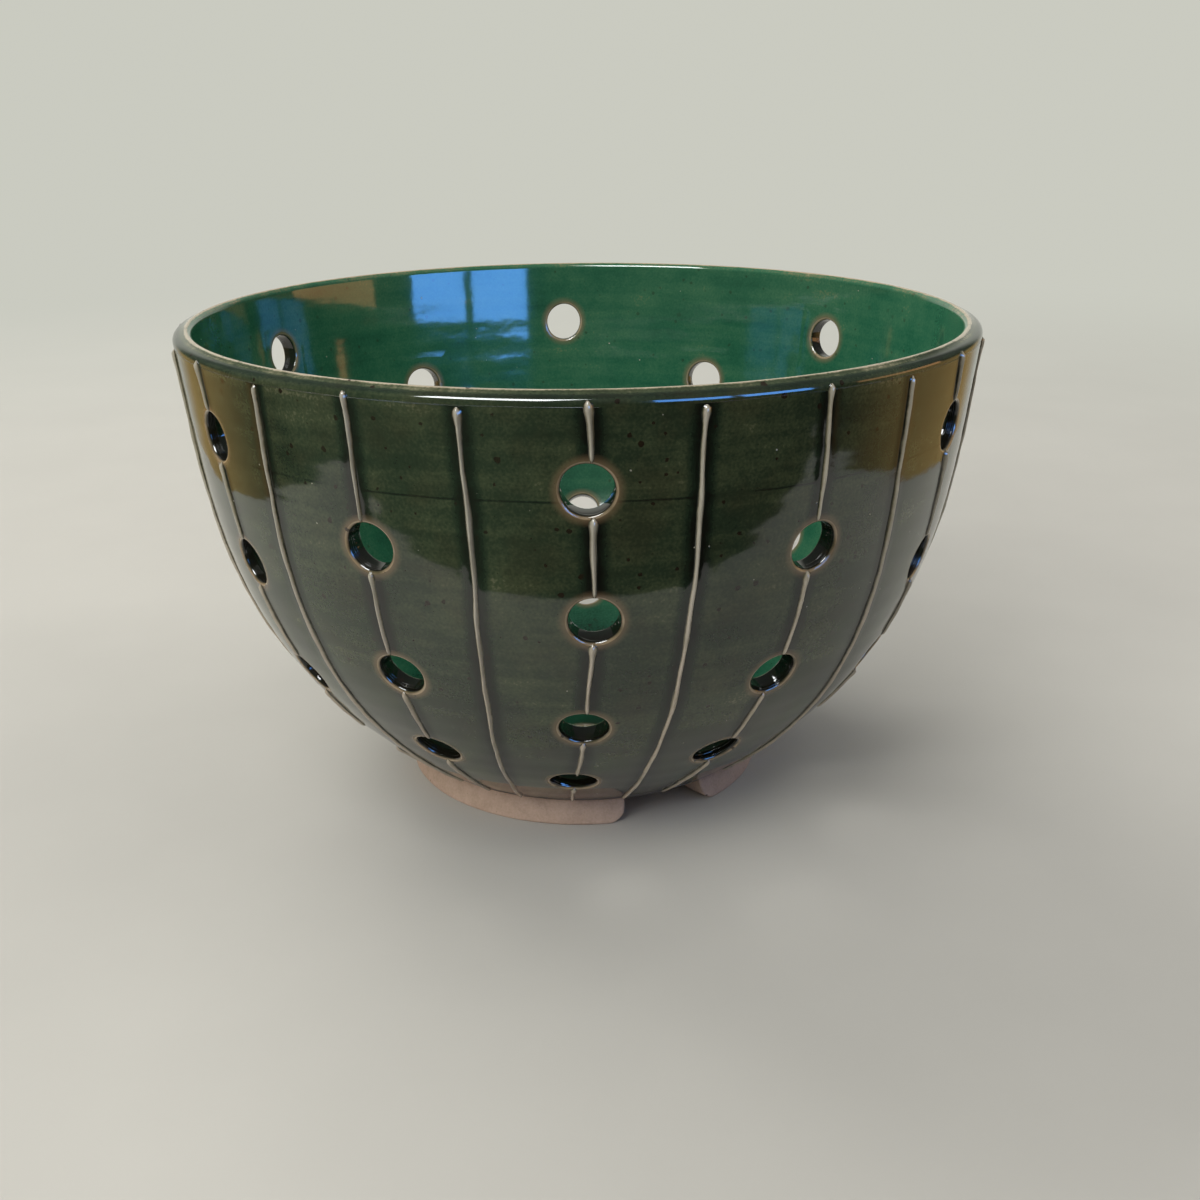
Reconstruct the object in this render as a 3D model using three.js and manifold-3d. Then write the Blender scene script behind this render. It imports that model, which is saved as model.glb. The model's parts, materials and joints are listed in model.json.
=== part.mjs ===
// A thrown and pierced stoneware berry bowl: a glazed body full of drain holes, three clay feet cut from
// its foot ring, and raised lines of slip trailed down the outside from hole to hole.
// Millimetres and degrees. The axis is Z, the table is z = 0, and angles run from -Y towards +X.
import * as THREE from 'three';
import { mergeVertices } from 'three/addons/utils/BufferGeometryUtils.js';
import Module from 'manifold-3d';

const wasm = await Module();
wasm.setup();

// Body
const rimRadius = 80.1; // outside of the wall at the shoulder under the lip
const bowlHeight = 97.8; // table to the crest of the lip
const wallThickness = 3.8;
const floorThickness = 4.4;
const baseRadius = 38.2; // underside, where the wall starts
const baseAngle = 36.4; // how steeply the wall leaves the base
const baseReach = 48.4; // how far the wall keeps to that direction
const rimLean = 7.3; // how far the wall still leans out at the shoulder
const rimReach = 31; // how far down the wall keeps to that lean
const lipDrop = 1.2; // crest of the lip above the shoulder
const lipInset = 2.7; // crest of the lip inside the shoulder
const coveRise = 17.7; // base to where the inside turns into the floor, along the wall

// Feet
const footCount = 3;
const footHeight = 5.6;
const footSetback = 1.1; // edge of the underside to the outside of a foot's top
const footFlare = 1.4; // how far a foot spreads from its top to the table
const footWidth = 6.5; // across the ring
const footGap = 18.4; // between two feet, along their outside at the table
const footCorner = 3.6; // rounding of the lower corners at a foot's ends
const firstGapAngle = 26.3; // middle of the gap beside the front foot

// Drain holes: every fourth line has a long row of holes, and the line half way between has a short row
const holeDiameter = 8.8;
const topHoleDrop = 13.9; // shoulder to the first hole, along the wall
const bottomHoleRise = 17.2; // base to the last hole, along the wall
const shortRowShift = 0.57; // place of a short row's hole between two holes of a long row
const longRowDrift = [0, 0, 1.8, 0]; // how far each hole of a long row was cut below its even place
const shortRowDrift = [0, 1.8, 1]; // the same in a short row
const holeStray = { // for each hole of some rows, how far it was cut below and beside that place
  0: [[1, -0.8], [0.4, 0.2], [0.3, -0.2], [0.6, -0.4]],
  2: [[0.9, 0.3], [1.6, 0], [1.3, -1]],
  4: [[0.3, 0.4], [2.8, 0.2], [0, 0], [0, 0]],
  20: [[0, 0], [-0.3, 0.4], [0, 0], [0, 0]],
  22: [[-0.6, 0.7], [-0.1, 0.9], [0.4, -0.2]],
};
const floorRingHoles = 6;
const floorRingRadius = 17;

// Slip lines: how far each one strays from its even place, at the shoulder, half way and at the base
const lineStray = [
  [0.8, 0.9, -4], [-1, -1.5, -4], [0, -0.5, -7], [-1, 0.7, 2],
  [-2.5, 0.5, 1], [0, 1, 1.5], [3, 2.5, 2], [5, 4, 3],
  [8.5, 7, 4], [6, 5, 4], [4.5, 4, 3], [3.5, 3, 2],
  [4, 0.5, -2], [2.5, 2, 1], [3, 2, 1], [3.5, 3, 2],
  [4.5, 4, 3], [4, 4, 3], [3.5, 4, 3.5], [3.5, 4.5, 4.5],
  [3.5, 6, 6], [3, 2.2, 6], [2.3, 2, 0.7], [1.2, 1, -4],
];
const slipWidth = 1.7;
const slipHeight = 0.85; // crest of a line above the wall
const slipSeat = 0.2; // clearance between a line and the wall it lies on
const slipRoot = 0.5; // how deep a line goes that is one with the body
const slipTopDrop = 1.4; // shoulder to the start of a line
const slipHoleGap = 0.7; // edge of a hole to the end of a line
const slipBaseGap = 0.8; // end of a line to the base
const slipCheekAside = 0.7; // rounding of a line's section, as shares of its half width and height
const slipCheekHeight = 0.75;
const slipStep = 7; // longest straight piece of a line
const slipTaper = 0.35; // how much narrower a line is where it ends
const slipTip = 0.45; // size of a line's rounded tips

// Faceting
const aroundSteps = 48;
const wallSteps = 11;
const coveSteps = 3;
const holeSides = 12;
const footSteps = 12;
const cornerSteps = 3;

const slipClay = { color: '#a5967e', roughness: 0.3, metalness: 0 };
const greenGlaze = { color: '#2f4638', roughness: 0.15, metalness: 0 };
const bareClay = { color: '#af9687', roughness: 0.85, metalness: 0 };

const radians = THREE.MathUtils.degToRad;
const lineCount = lineStray.length;
const shoulderHeight = bowlHeight - lipDrop;
const footTopRadius = baseRadius - footSetback;
const footRadius = footTopRadius + footFlare;

// The outside of the wall in the plane of radius and height, from the base up to the shoulder
const base = new THREE.Vector2(baseRadius, footHeight);
const shoulder = new THREE.Vector2(rimRadius, shoulderHeight);
const wallCurve = new THREE.CubicBezierCurve(
  base,
  new THREE.Vector2(
    baseRadius + baseReach * Math.cos(radians(baseAngle)),
    footHeight + baseReach * Math.sin(radians(baseAngle)),
  ),
  new THREE.Vector2(
    rimRadius - rimReach * Math.sin(radians(rimLean)),
    shoulderHeight - rimReach * Math.cos(radians(rimLean)),
  ),
  shoulder,
);
const wallLength = wallCurve.getLength();

// Point of the wall at a share of the way up, moved out along the wall's normal
function wallPoint(share, out = 0) {
  const tangent = wallCurve.getTangentAt(share);
  const point = wallCurve.getPointAt(share);
  return point.add(new THREE.Vector2(tangent.y, -tangent.x).multiplyScalar(out));
}

// Share of the way up the wall at a distance down from the shoulder
function shareAt(drop) {
  return THREE.MathUtils.clamp(1 - drop / wallLength, 0, 1);
}

// Turns a point of radius and height, and a step to the side of it, into a place on the bowl
function place(point, angle, aside = 0) {
  const turn = radians(angle);
  return new THREE.Vector3(
    point.x * Math.sin(turn) + aside * Math.cos(turn),
    -point.x * Math.cos(turn) + aside * Math.sin(turn),
    point.y,
  );
}

// Angle of a line at a distance down from the shoulder, on a parabola through its three strays
function lineAngle(line, drop) {
  const down = drop / wallLength;
  const [atShoulder, halfWay, atBase] = lineStray[line];
  const stray = atShoulder * (1 - down) * (1 - 2 * down)
    + halfWay * 4 * down * (1 - down)
    + atBase * down * (2 * down - 1);
  return line * 360 / lineCount + stray;
}

// Places of a line's holes, down from the shoulder and to the side of the line: none on the odd lines
function holePlaces(line) {
  if (line % 2 === 1) return [];
  const isLong = line % 4 === 0;
  const drifts = isLong ? longRowDrift : shortRowDrift;
  const pitch = (wallLength - topHoleDrop - bottomHoleRise) / (longRowDrift.length - 1);
  return drifts.map((drift, hole) => {
    const [below, aside] = line in holeStray ? holeStray[line][hole] : [0, 0];
    const even = topHoleDrop + pitch * (isLong ? hole : hole + shortRowShift);
    return { drop: even + drift + below, aside };
  });
}

// Joins rings of points into a closed skin, with a flat cap at each end
function loft(rings) {
  const sides = rings[0].length;
  const index = [];
  for (let ring = 0; ring + 1 < rings.length; ring += 1) {
    for (let side = 0; side < sides; side += 1) {
      const next = (side + 1) % sides;
      const [a, b] = [ring * sides + side, ring * sides + next];
      index.push(a, b, a + sides, b, b + sides, a + sides);
    }
  }
  const last = (rings.length - 1) * sides;
  for (let side = 1; side + 1 < sides; side += 1) {
    index.push(0, side + 1, side, last, last + side, last + side + 1);
  }
  const geometry = new THREE.BufferGeometry().setFromPoints(rings.flat());
  geometry.setIndex(index);
  return geometry;
}

function toSolid(geometry) {
  const bare = geometry.clone();
  bare.deleteAttribute('normal');
  bare.deleteAttribute('uv');
  const merged = mergeVertices(bare);
  const mesh = new wasm.Mesh({
    numProp: 3,
    vertProperties: new Float32Array(merged.attributes.position.array),
    triVerts: new Uint32Array(merged.index.array),
  });
  return new wasm.Manifold(mesh);
}

function toGeometry(solid) {
  const mesh = solid.getMesh();
  const geometry = new THREE.BufferGeometry();
  geometry.setAttribute('position', new THREE.BufferAttribute(mesh.vertProperties, mesh.numProp));
  geometry.setIndex(new THREE.BufferAttribute(mesh.triVerts, 1));
  return geometry;
}

// Skin of one slip line between two distances down from the shoulder, its foot this far off the wall
function slipSkin(line, from, to, seat) {
  const steps = Math.max(3, Math.ceil((to - from) / slipStep));
  const tip = Math.min(slipWidth / 2, (to - from) / steps / 2);
  const drops = [from, from + tip];
  for (let step = 1; step < steps; step += 1) drops.push(from + (to - from) * step / steps);
  drops.push(to - tip, to);
  const rings = drops.map((drop, ring) => {
    const atTip = ring === 0 || ring === drops.length - 1;
    const size = (1 - slipTaper * (drop - from) / (to - from)) * (atTip ? slipTip : 1);
    const half = slipWidth / 2 * size;
    const crest = Math.max(slipHeight * size, slipSeat + slipWidth / 8);
    const [cheekAside, cheekHeight] = [half * slipCheekAside, crest * slipCheekHeight];
    const section = [
      [half, seat],
      [cheekAside, cheekHeight],
      [0, crest],
      [-cheekAside, cheekHeight],
      [-half, seat],
    ];
    const angle = lineAngle(line, drop);
    return section.map(([aside, out]) => place(wallPoint(shareAt(drop), out), angle, aside));
  });
  return loft(rings);
}

// Stretches of a line: shoulder to first hole, hole to hole, and last hole to base
function slipStretches(line) {
  const clear = holeDiameter / 2 + slipHoleGap;
  const drops = holePlaces(line).map(({ drop }) => drop);
  const starts = [slipTopDrop, ...drops.map((drop) => drop + clear)];
  const ends = [...drops.map((drop) => drop - clear), wallLength - slipBaseGap];
  return starts.map((start, stretch) => [start, ends[stretch]]);
}

// Half section of the body: underside, outside of the wall, lip, inside of the wall, cove and floor
function bodyOutline() {
  const floorHeight = footHeight + floorThickness;
  const coveShare = coveRise / wallLength;
  const outside = [];
  const inside = [];
  for (let step = 0; step <= wallSteps; step += 1) {
    outside.push(wallPoint(step / wallSteps));
    inside.push(wallPoint(1 - (1 - coveShare) * step / wallSteps, -wallThickness));
  }
  const coveTop = inside.pop();
  const slope = wallCurve.getTangentAt(coveShare);
  const run = (coveTop.y - floorHeight) / slope.y;
  const bend = coveTop.clone().addScaledVector(slope, -run);
  const cove = new THREE.QuadraticBezierCurve(coveTop, bend, new THREE.Vector2(bend.x - run, floorHeight));
  return [
    new THREE.Vector2(0, footHeight),
    ...outside,
    new THREE.Vector2(rimRadius - lipInset, bowlHeight),
    ...inside,
    ...cove.getPoints(coveSteps),
    new THREE.Vector2(0, floorHeight),
  ];
}

// Round cutter through the wall or the floor, its middle at a point and its axis along a direction
function holeCutter(middle, axis, length) {
  const cutter = new THREE.CylinderGeometry(holeDiameter / 2, holeDiameter / 2, length, holeSides);
  const turn = new THREE.Quaternion().setFromUnitVectors(new THREE.Vector3(0, 1, 0), axis);
  cutter.applyQuaternion(turn);
  cutter.translate(middle.x, middle.y, middle.z);
  return toSolid(cutter);
}

function wallHole(line, drop, aside) {
  const share = shareAt(drop);
  const angle = lineAngle(line, drop) + THREE.MathUtils.radToDeg(aside / wallPoint(share).x);
  const middle = place(wallPoint(share, -wallThickness / 2), angle);
  const axis = place(wallPoint(share, wallThickness), angle).sub(middle).normalize();
  return holeCutter(middle, axis, wallThickness * 4);
}

function floorHole(radius, angle) {
  const middle = place(new THREE.Vector2(radius, footHeight + floorThickness / 2), angle);
  return holeCutter(middle, new THREE.Vector3(0, 0, 1), floorThickness * 2);
}

// The thrown body, with the shortest slip lines, under the lowest holes, as one piece with it
function bodyGeometry() {
  const thrown = new THREE.LatheGeometry(bodyOutline(), aroundSteps);
  thrown.rotateX(Math.PI / 2);
  let body = toSolid(thrown);
  for (let line = 0; line < lineCount; line += 2) {
    const [from, to] = slipStretches(line).at(-1);
    body = body.add(toSolid(slipSkin(line, from, to, -slipRoot)));
    for (const { drop, aside } of holePlaces(line)) body = body.subtract(wallHole(line, drop, aside));
  }
  body = body.subtract(floorHole(0, 0));
  for (let hole = 0; hole < floorRingHoles; hole += 1) {
    body = body.subtract(floorHole(floorRingRadius, hole * 360 / floorRingHoles));
  }
  return toGeometry(body);
}

// One foot between two angles: a curved bar whose lower corners are rounded at both ends
function footGeometry(from, to) {
  const degreesPerMillimetre = 180 / (Math.PI * footRadius);
  const stations = [];
  for (let step = 0; step <= cornerSteps; step += 1) {
    const turn = Math.PI / 2 * step / cornerSteps;
    stations.push([footCorner * (1 - Math.cos(turn)), footCorner * (1 - Math.sin(turn))]);
  }
  const length = (to - from) / degreesPerMillimetre;
  const middle = length - 2 * footCorner;
  const farEnd = stations.map(([along, rise]) => [length - along, rise]).reverse();
  for (let step = 1; step < footSteps; step += 1) {
    stations.push([footCorner + middle * step / footSteps, 0]);
  }
  const rings = [...stations, ...farEnd].map(([along, rise]) => {
    const angle = from + along * degreesPerMillimetre;
    const low = footRadius - footFlare * rise / footHeight;
    const section = [
      [footTopRadius, footHeight],
      [low, rise],
      [low - footWidth, rise],
      [footTopRadius - footWidth, footHeight],
    ];
    return section.map(([radius, height]) => place(new THREE.Vector2(radius, height), angle));
  });
  return loft(rings);
}

const bowl = new THREE.Group();

function addPiece(name, geometry, finish) {
  geometry.computeVertexNormals();
  const mesh = new THREE.Mesh(geometry, new THREE.MeshStandardMaterial(finish));
  mesh.name = name;
  bowl.add(mesh);
}

addPiece('thrown_body', bodyGeometry(), greenGlaze);

const footPitch = 360 / footCount;
const halfGap = THREE.MathUtils.radToDeg(footGap / footRadius) / 2;
for (let foot = 0; foot < footCount; foot += 1) {
  const gapAngle = firstGapAngle + foot * footPitch;
  addPiece(`foot_${foot + 1}`, footGeometry(gapAngle + halfGap, gapAngle + footPitch - halfGap), bareClay);
}

for (let line = 0; line < lineCount; line += 1) {
  const label = `slip_line_${String(line + 1).padStart(2, '0')}`;
  const stretches = slipStretches(line);
  if (line % 2 === 0) stretches.pop();
  stretches.forEach(([from, to], stretch) => {
    const name = stretches.length > 1 ? `${label}_stretch_${stretch + 1}` : label;
    addPiece(name, slipSkin(line, from, to, slipSeat), slipClay);
  });
}

export default bowl;
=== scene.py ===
import json
import math

import bmesh
import bpy
import numpy as np
from mathutils import Matrix, Vector
from mathutils.geometry import delaunay_2d_cdt

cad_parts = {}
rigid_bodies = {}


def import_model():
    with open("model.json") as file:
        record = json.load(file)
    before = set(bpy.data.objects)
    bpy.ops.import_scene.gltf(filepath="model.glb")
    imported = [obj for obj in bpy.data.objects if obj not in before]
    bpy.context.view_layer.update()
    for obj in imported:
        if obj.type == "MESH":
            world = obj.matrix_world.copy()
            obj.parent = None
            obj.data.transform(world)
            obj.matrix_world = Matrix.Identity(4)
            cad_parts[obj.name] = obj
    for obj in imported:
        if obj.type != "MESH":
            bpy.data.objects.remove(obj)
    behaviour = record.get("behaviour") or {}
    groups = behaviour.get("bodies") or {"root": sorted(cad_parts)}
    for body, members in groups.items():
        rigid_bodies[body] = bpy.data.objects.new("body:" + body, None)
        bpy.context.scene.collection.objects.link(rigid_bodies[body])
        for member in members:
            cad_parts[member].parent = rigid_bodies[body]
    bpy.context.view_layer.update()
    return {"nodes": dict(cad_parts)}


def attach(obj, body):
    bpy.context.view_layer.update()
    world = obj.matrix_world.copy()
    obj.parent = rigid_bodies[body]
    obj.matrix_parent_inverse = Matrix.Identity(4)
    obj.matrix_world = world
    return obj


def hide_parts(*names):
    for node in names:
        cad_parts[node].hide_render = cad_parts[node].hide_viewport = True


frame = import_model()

mm = 0.001  # shapes are worked out in millimetres, and meshes are made in metres
print("frame loaded:", len(frame["nodes"]), "nodes")


# camera, solved from the rim, the holes, the slip lines and the feet in the photo
camera = dict(
    place=(0, -288.3, 142.1),
    down=20.48,
    turn=0.77,
    roll=-0.45,
    focalPixels=1400,
    imagePixels=1200,
)


def makeCamera():
    down, turn, roll = (math.radians(camera[key]) for key in ("down", "turn", "roll"))
    ahead = Vector((math.sin(turn) * math.cos(down), math.cos(turn) * math.cos(down), -math.sin(down)))
    level = Vector((math.cos(turn), -math.sin(turn), 0))
    above = level.cross(ahead)
    right = level * math.cos(roll) + above * math.sin(roll)
    up = above * math.cos(roll) - level * math.sin(roll)
    lens = bpy.data.cameras.new("camera")
    lens.sensor_width = 36
    lens.lens = lens.sensor_width * camera["focalPixels"] / camera["imagePixels"]
    lens.clip_start = 0.01
    eye = bpy.data.objects.new("camera", lens)
    facing = Matrix((right, up, -ahead)).transposed().to_4x4()
    eye.matrix_world = Matrix.Translation(Vector(camera["place"]) * mm) @ facing
    bpy.context.scene.collection.objects.link(eye)
    bpy.context.scene.camera = eye


makeCamera()


# half section of the thrown wall: the same curve as the CAD body
wall = dict(
    rimRadius=80.1,
    height=97.8,
    thickness=3.8,
    floorThickness=4.4,
    baseRadius=38.2,
    baseHeight=5.6,
    baseAngle=36.4,
    baseReach=48.4,
    rimLean=7.3,
    rimReach=31,
    lipDrop=1.2,
    lipInset=2.7,
    coveRise=17.7,
    curvePoints=2001,
    covePoints=200,
    throwPitch=5.3,  # from one finger ring to the next
    throwDepth=0.018,
    throwClear=2,  # plain wall under the lip
    throwFade=6,
    slowShare=0.6,  # of a slower wave among the rings
    slowPitch=2.7,  # in ring pitches
    innerShare=0.6,  # of the rings on the inside
)


def aim(degrees):
    return np.array([math.cos(math.radians(degrees)), math.sin(math.radians(degrees))])


def bezier(points, count):
    t = np.linspace(0, 1, count)[:, None]
    points = [np.asarray(point, float) for point in points]
    while len(points) > 1:
        points = [(1 - t) * a + t * b for a, b in zip(points, points[1:])]
    return points[0]


def alongOf(points):
    return np.concatenate([[0], np.cumsum(np.linalg.norm(np.diff(points, axis=0), axis=1))])


def resample(points, along):
    own = alongOf(points)
    return np.stack([np.interp(along, own, points[:, axis]) for axis in range(points.shape[1])], 1)


shoulder = np.array([wall["rimRadius"], wall["height"] - wall["lipDrop"]])
base = np.array([wall["baseRadius"], wall["baseHeight"]])
outerCurve = bezier([
    shoulder,
    shoulder - wall["rimReach"] * aim(90 - wall["rimLean"]),
    base + wall["baseReach"] * aim(wall["baseAngle"]),
    base,
], wall["curvePoints"])
outerCurve = resample(outerCurve, np.linspace(0, alongOf(outerCurve)[-1], wall["curvePoints"]))
outerDrop = alongOf(outerCurve)
wallLength = outerDrop[-1]
outerSlope = np.gradient(outerCurve, outerDrop, axis=0)
outerNormal = np.stack([-outerSlope[:, 1], outerSlope[:, 0]], 1)
floorHeight = wall["baseHeight"] + wall["floorThickness"]


def onCurve(table, drop):
    return np.stack([np.interp(drop, outerDrop, table[:, axis]) for axis in range(2)], -1)


# cove from the wall's inside down to the flat floor
coveDrop = wallLength - wall["coveRise"]
coveTop = onCurve(outerCurve, coveDrop) - wall["thickness"] * onCurve(outerNormal, coveDrop)
coveSlope = onCurve(outerSlope, coveDrop)
coveRun = (floorHeight - coveTop[1]) / coveSlope[1]
coveBend = coveTop + coveRun * coveSlope
coveEnd = coveBend - np.array([coveRun, 0])
coveCurve = np.concatenate([bezier([coveTop, coveBend, coveEnd], wall["covePoints"]), [[0, floorHeight]]])


def wallDepth():
    # thickness square to the outside, all the way down: it grows where the cove fills the corner
    depth = np.full(len(outerDrop), wall["thickness"], float)
    for index in np.nonzero(outerDrop > coveDrop)[0]:
        toCove = coveCurve - outerCurve[index]
        inward = -outerNormal[index]
        aside = toCove[:, 0] * inward[1] - toCove[:, 1] * inward[0]
        ahead = toCove @ inward
        hit = np.nonzero(np.sign(aside[:-1]) != np.sign(aside[1:]))[0]
        share = aside[hit] / (aside[hit] - aside[hit + 1])
        depth[index] = np.min(ahead[hit] + share * (ahead[hit + 1] - ahead[hit]))
    return depth


outerDepth = wallDepth()


def turned(radius, height, angle):
    return np.stack([radius * np.sin(angle), -radius * np.cos(angle), height + 0 * angle], -1)


def throwing(angle, drop):
    # shallow spiral of finger rings, sunk into the wall and fading out at both ends of it
    fadeIn = np.clip((drop - wall["throwClear"]) / wall["throwFade"], 0, 1)
    fadeOut = np.clip((wallLength - drop) / wall["throwFade"], 0, 1)
    ring = np.sin(2 * math.pi * drop / wall["throwPitch"] + angle)
    slowPitch = wall["throwPitch"] * wall["slowPitch"]
    slow = wall["slowShare"] * np.sin(2 * math.pi * drop / slowPitch - 2 * angle + 1)
    return wall["throwDepth"] * (fadeIn * fadeOut) * (ring + slow - (1 + wall["slowShare"]))


def outside(angle, drop):
    point = onCurve(outerCurve, drop) + throwing(angle, drop)[..., None] * onCurve(outerNormal, drop)
    return turned(point[..., 0], point[..., 1], angle)


def inside(angle, drop):
    depth = np.interp(drop, outerDrop, outerDepth) + wall["innerShare"] * throwing(angle + 2, drop)
    point = onCurve(outerCurve, drop) - depth[..., None] * onCurve(outerNormal, drop)
    return turned(point[..., 0], point[..., 1], angle)


def outsideNormals(angle, drop):
    turn, step = 1e-3, 0.05
    around = outside(angle + turn, drop) - outside(angle - turn, drop)
    down = outside(angle, np.minimum(drop + step, wallLength)) - outside(angle, np.maximum(drop - step, 0))
    normal = np.cross(down, around)
    return normal / np.linalg.norm(normal, axis=-1, keepdims=True)


# drain holes: places as in the CAD body
hole = dict(
    radius=4.4,
    outerRound=0.6,
    innerRound=0.6,
    topDrop=13.9,
    bottomRise=17.2,
    shortShift=0.57,
    longDrift=(0, 0, 1.8, 0),
    shortDrift=(0, 1.8, 1),
    stray={  # for each hole of some rows, how far it was cut below and beside that place
        0: ((1, -0.8), (0.4, 0.2), (0.3, -0.2), (0.6, -0.4)),
        2: ((0.9, 0.3), (1.6, 0), (1.3, -1)),
        4: ((0.3, 0.4), (2.8, 0.2), (0, 0), (0, 0)),
        20: ((0, 0), (-0.3, 0.4), (0, 0), (0, 0)),
        22: ((-0.6, 0.7), (-0.1, 0.9), (0.4, -0.2)),
    },
    floorRing=17,
    floorCount=6,
    floorPoints=40,
    unround=(0.012, 0.008),
    farGap=30,  # stands for anywhere far from a hole
)

# slip lines: how far each strays from its even place at the shoulder, half way and at the base
slip = dict(
    stray=(
        (0.8, 0.9, -4), (-1, -1.5, -4), (0, -0.5, -7), (-1, 0.7, 2),
        (-2.5, 0.5, 1), (0, 1, 1.5), (3, 2.5, 2), (5, 4, 3),
        (8.5, 7, 4), (6, 5, 4), (4.5, 4, 3), (3.5, 3, 2),
        (4, 0.5, -2), (2.5, 2, 1), (3, 2, 1), (3.5, 3, 2),
        (4.5, 4, 3), (4, 4, 3), (3.5, 4, 3.5), (3.5, 4.5, 4.5),
        (3.5, 6, 6), (3, 2.2, 6), (2.3, 2, 0.7), (1.2, 1, -4),
    ),
    width=0.92,
    height=0.7,
    root=0.3,
    topDrop=(0.2, 1.5),  # lines with holes start right under the lip, plain ones lower
    baseGap=1.2,
    holeReach=0.35,  # how far a stretch runs onto the rounded edge of a hole
    waver=0.1,
    step=0.6,
    columns=14,
    blobDrop=1.1,  # thickest place under a stretch's start
    blobSize=1.3,
    taper=9,
    capTop=1.0,
    capEnd=1.3,
    capFloor=0.0025,  # keeps a stretch's ends from shrinking to a point
    spread=1.25,
    seat=0.03,
)
lineCount = len(slip["stray"])


def lineAngle(line, drop):
    down = drop / wallLength
    atShoulder, halfWay, atBase = slip["stray"][line]
    upper = atShoulder * (1 - down) * (1 - 2 * down)
    stray = upper + halfWay * 4 * down * (1 - down) + atBase * down * (2 * down - 1)
    return np.radians(line * 360 / lineCount + stray)


def holePlaces(line):
    # down from the shoulder and to the side of the line, none on the odd lines
    if line % 2:
        return []
    drifts, shift = (hole["shortDrift"], hole["shortShift"]) if line % 4 else (hole["longDrift"], 0)
    pitch = (wallLength - hole["topDrop"] - hole["bottomRise"]) / (len(hole["longDrift"]) - 1)
    strays = hole["stray"].get(line, [(0, 0)] * len(drifts))
    return [(hole["topDrop"] + pitch * (place + shift) + drift + below, aside)
            for place, (drift, (below, aside)) in enumerate(zip(drifts, strays))]


def stretchesOf(line):
    clear = hole["radius"] + hole["outerRound"] - slip["holeReach"]
    drops = [drop for drop, aside in holePlaces(line)]
    starts = [slip["topDrop"][line % 2]] + [drop + clear for drop in drops]
    ends = [drop - clear for drop in drops] + [wallLength - slip["baseGap"]]
    return list(zip(starts, ends))


def waver(line, drop):
    # sideways tremble of the hand, in millimetres
    return slip["waver"] * (np.sin(drop / 5.1 + 2.3 * line) + 0.6 * np.sin(drop / 2.3 + 1.1 * line))


def holeMiddle(line, drop, aside):
    return line, drop, lineAngle(line, drop) + aside / onCurve(outerCurve, np.float64(drop))[0]


holes = [holeMiddle(line, drop, aside) for line in range(lineCount) for drop, aside in holePlaces(line)]
print("wall", round(wallLength, 1), "mm long,", len(holes), "holes in it")


def holeGapAt(angle, drop):
    # distance in millimetres from the edge of the nearest hole
    gap = np.full(np.broadcast(angle, drop).shape, float(hole["farGap"]))
    for line, middle, turn in holes:
        aside = (angle - turn + math.pi) % (2 * math.pi) - math.pi
        aside = aside * onCurve(outerCurve, np.float64(middle))[0]
        gap = np.minimum(gap, np.hypot(aside, drop - middle) - hole["radius"])
    return gap


def lineTurnAt(angle, drop):
    # which slip line a point lies at, counted round the bowl with fractions, and the span between two lines
    angle = np.asarray(angle, float) % (2 * math.pi)
    radius = onCurve(outerCurve, drop)[..., 0]
    turn = np.zeros(angle.shape)
    span = np.zeros(angle.shape)

    def angleOf(near):
        own = near % lineCount
        return lineAngle(own, drop) + waver(own, drop) / radius + near // lineCount * 2 * math.pi

    for line in range(-2, lineCount + 2):
        here, there = angleOf(line), angleOf(line + 1)
        between = (angle >= here) & (angle < there)
        turn = np.where(between, line + (angle - here) / (there - here), turn)
        span = np.where(between, (there - here) * radius, span)
    return turn % lineCount, span


class Skin:
    # points and faces of one piece, with what its glaze has to know at each point
    def __init__(self, **facts):
        self.points, self.faces, self.count = [], [], 0
        self.usual = facts
        self.facts = {name: [] for name in facts}

    def add(self, points, **facts):
        shape = points.shape[:-1]
        number = int(np.prod(shape))
        self.points.append(points.reshape(-1, 3))
        for name, usual in self.usual.items():
            self.facts[name].append(np.broadcast_to(facts.get(name, usual), shape).reshape(-1))
        self.count += number
        return np.arange(self.count - number, self.count).reshape(shape)

    def weave(self, index, around=False, keep=None):
        # quads between neighbouring rows and columns of point numbers
        if around:
            index = np.concatenate([index, index[:, :1]], 1)
        quads = np.stack([index[:-1, :-1], index[1:, :-1], index[1:, 1:], index[:-1, 1:]], -1)
        self.faces += (quads.reshape(-1, 4) if keep is None else quads[keep]).tolist()

    def make(self, name):
        mesh = bpy.data.meshes.new(name)
        mesh.from_pydata((np.concatenate(self.points) * mm).tolist(), [], self.faces)
        for fact, parts in self.facts.items():
            values = np.concatenate(parts).astype(np.float32)
            mesh.attributes.new(fact, "FLOAT", "POINT").data.foreach_set("value", values)
        shape = bmesh.new()
        shape.from_mesh(mesh)
        bmesh.ops.recalc_face_normals(shape, faces=shape.faces)
        shape.to_mesh(mesh)
        shape.free()
        mesh.shade_smooth()
        piece = bpy.data.objects.new(name, mesh)
        bpy.context.scene.collection.objects.link(piece)
        return piece


def rounded(points, trims, steps):
    # a path with its corners rounded off
    path = [points[0]]
    for before, corner, after, trim in zip(points, points[1:], points[2:], trims):
        come = corner - trim * (corner - before) / np.linalg.norm(corner - before)
        go = corner + trim * (after - corner) / np.linalg.norm(after - corner)
        path += list(bezier([come, corner, go], steps + 1))
    return np.array(path + [points[-1]])


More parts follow.
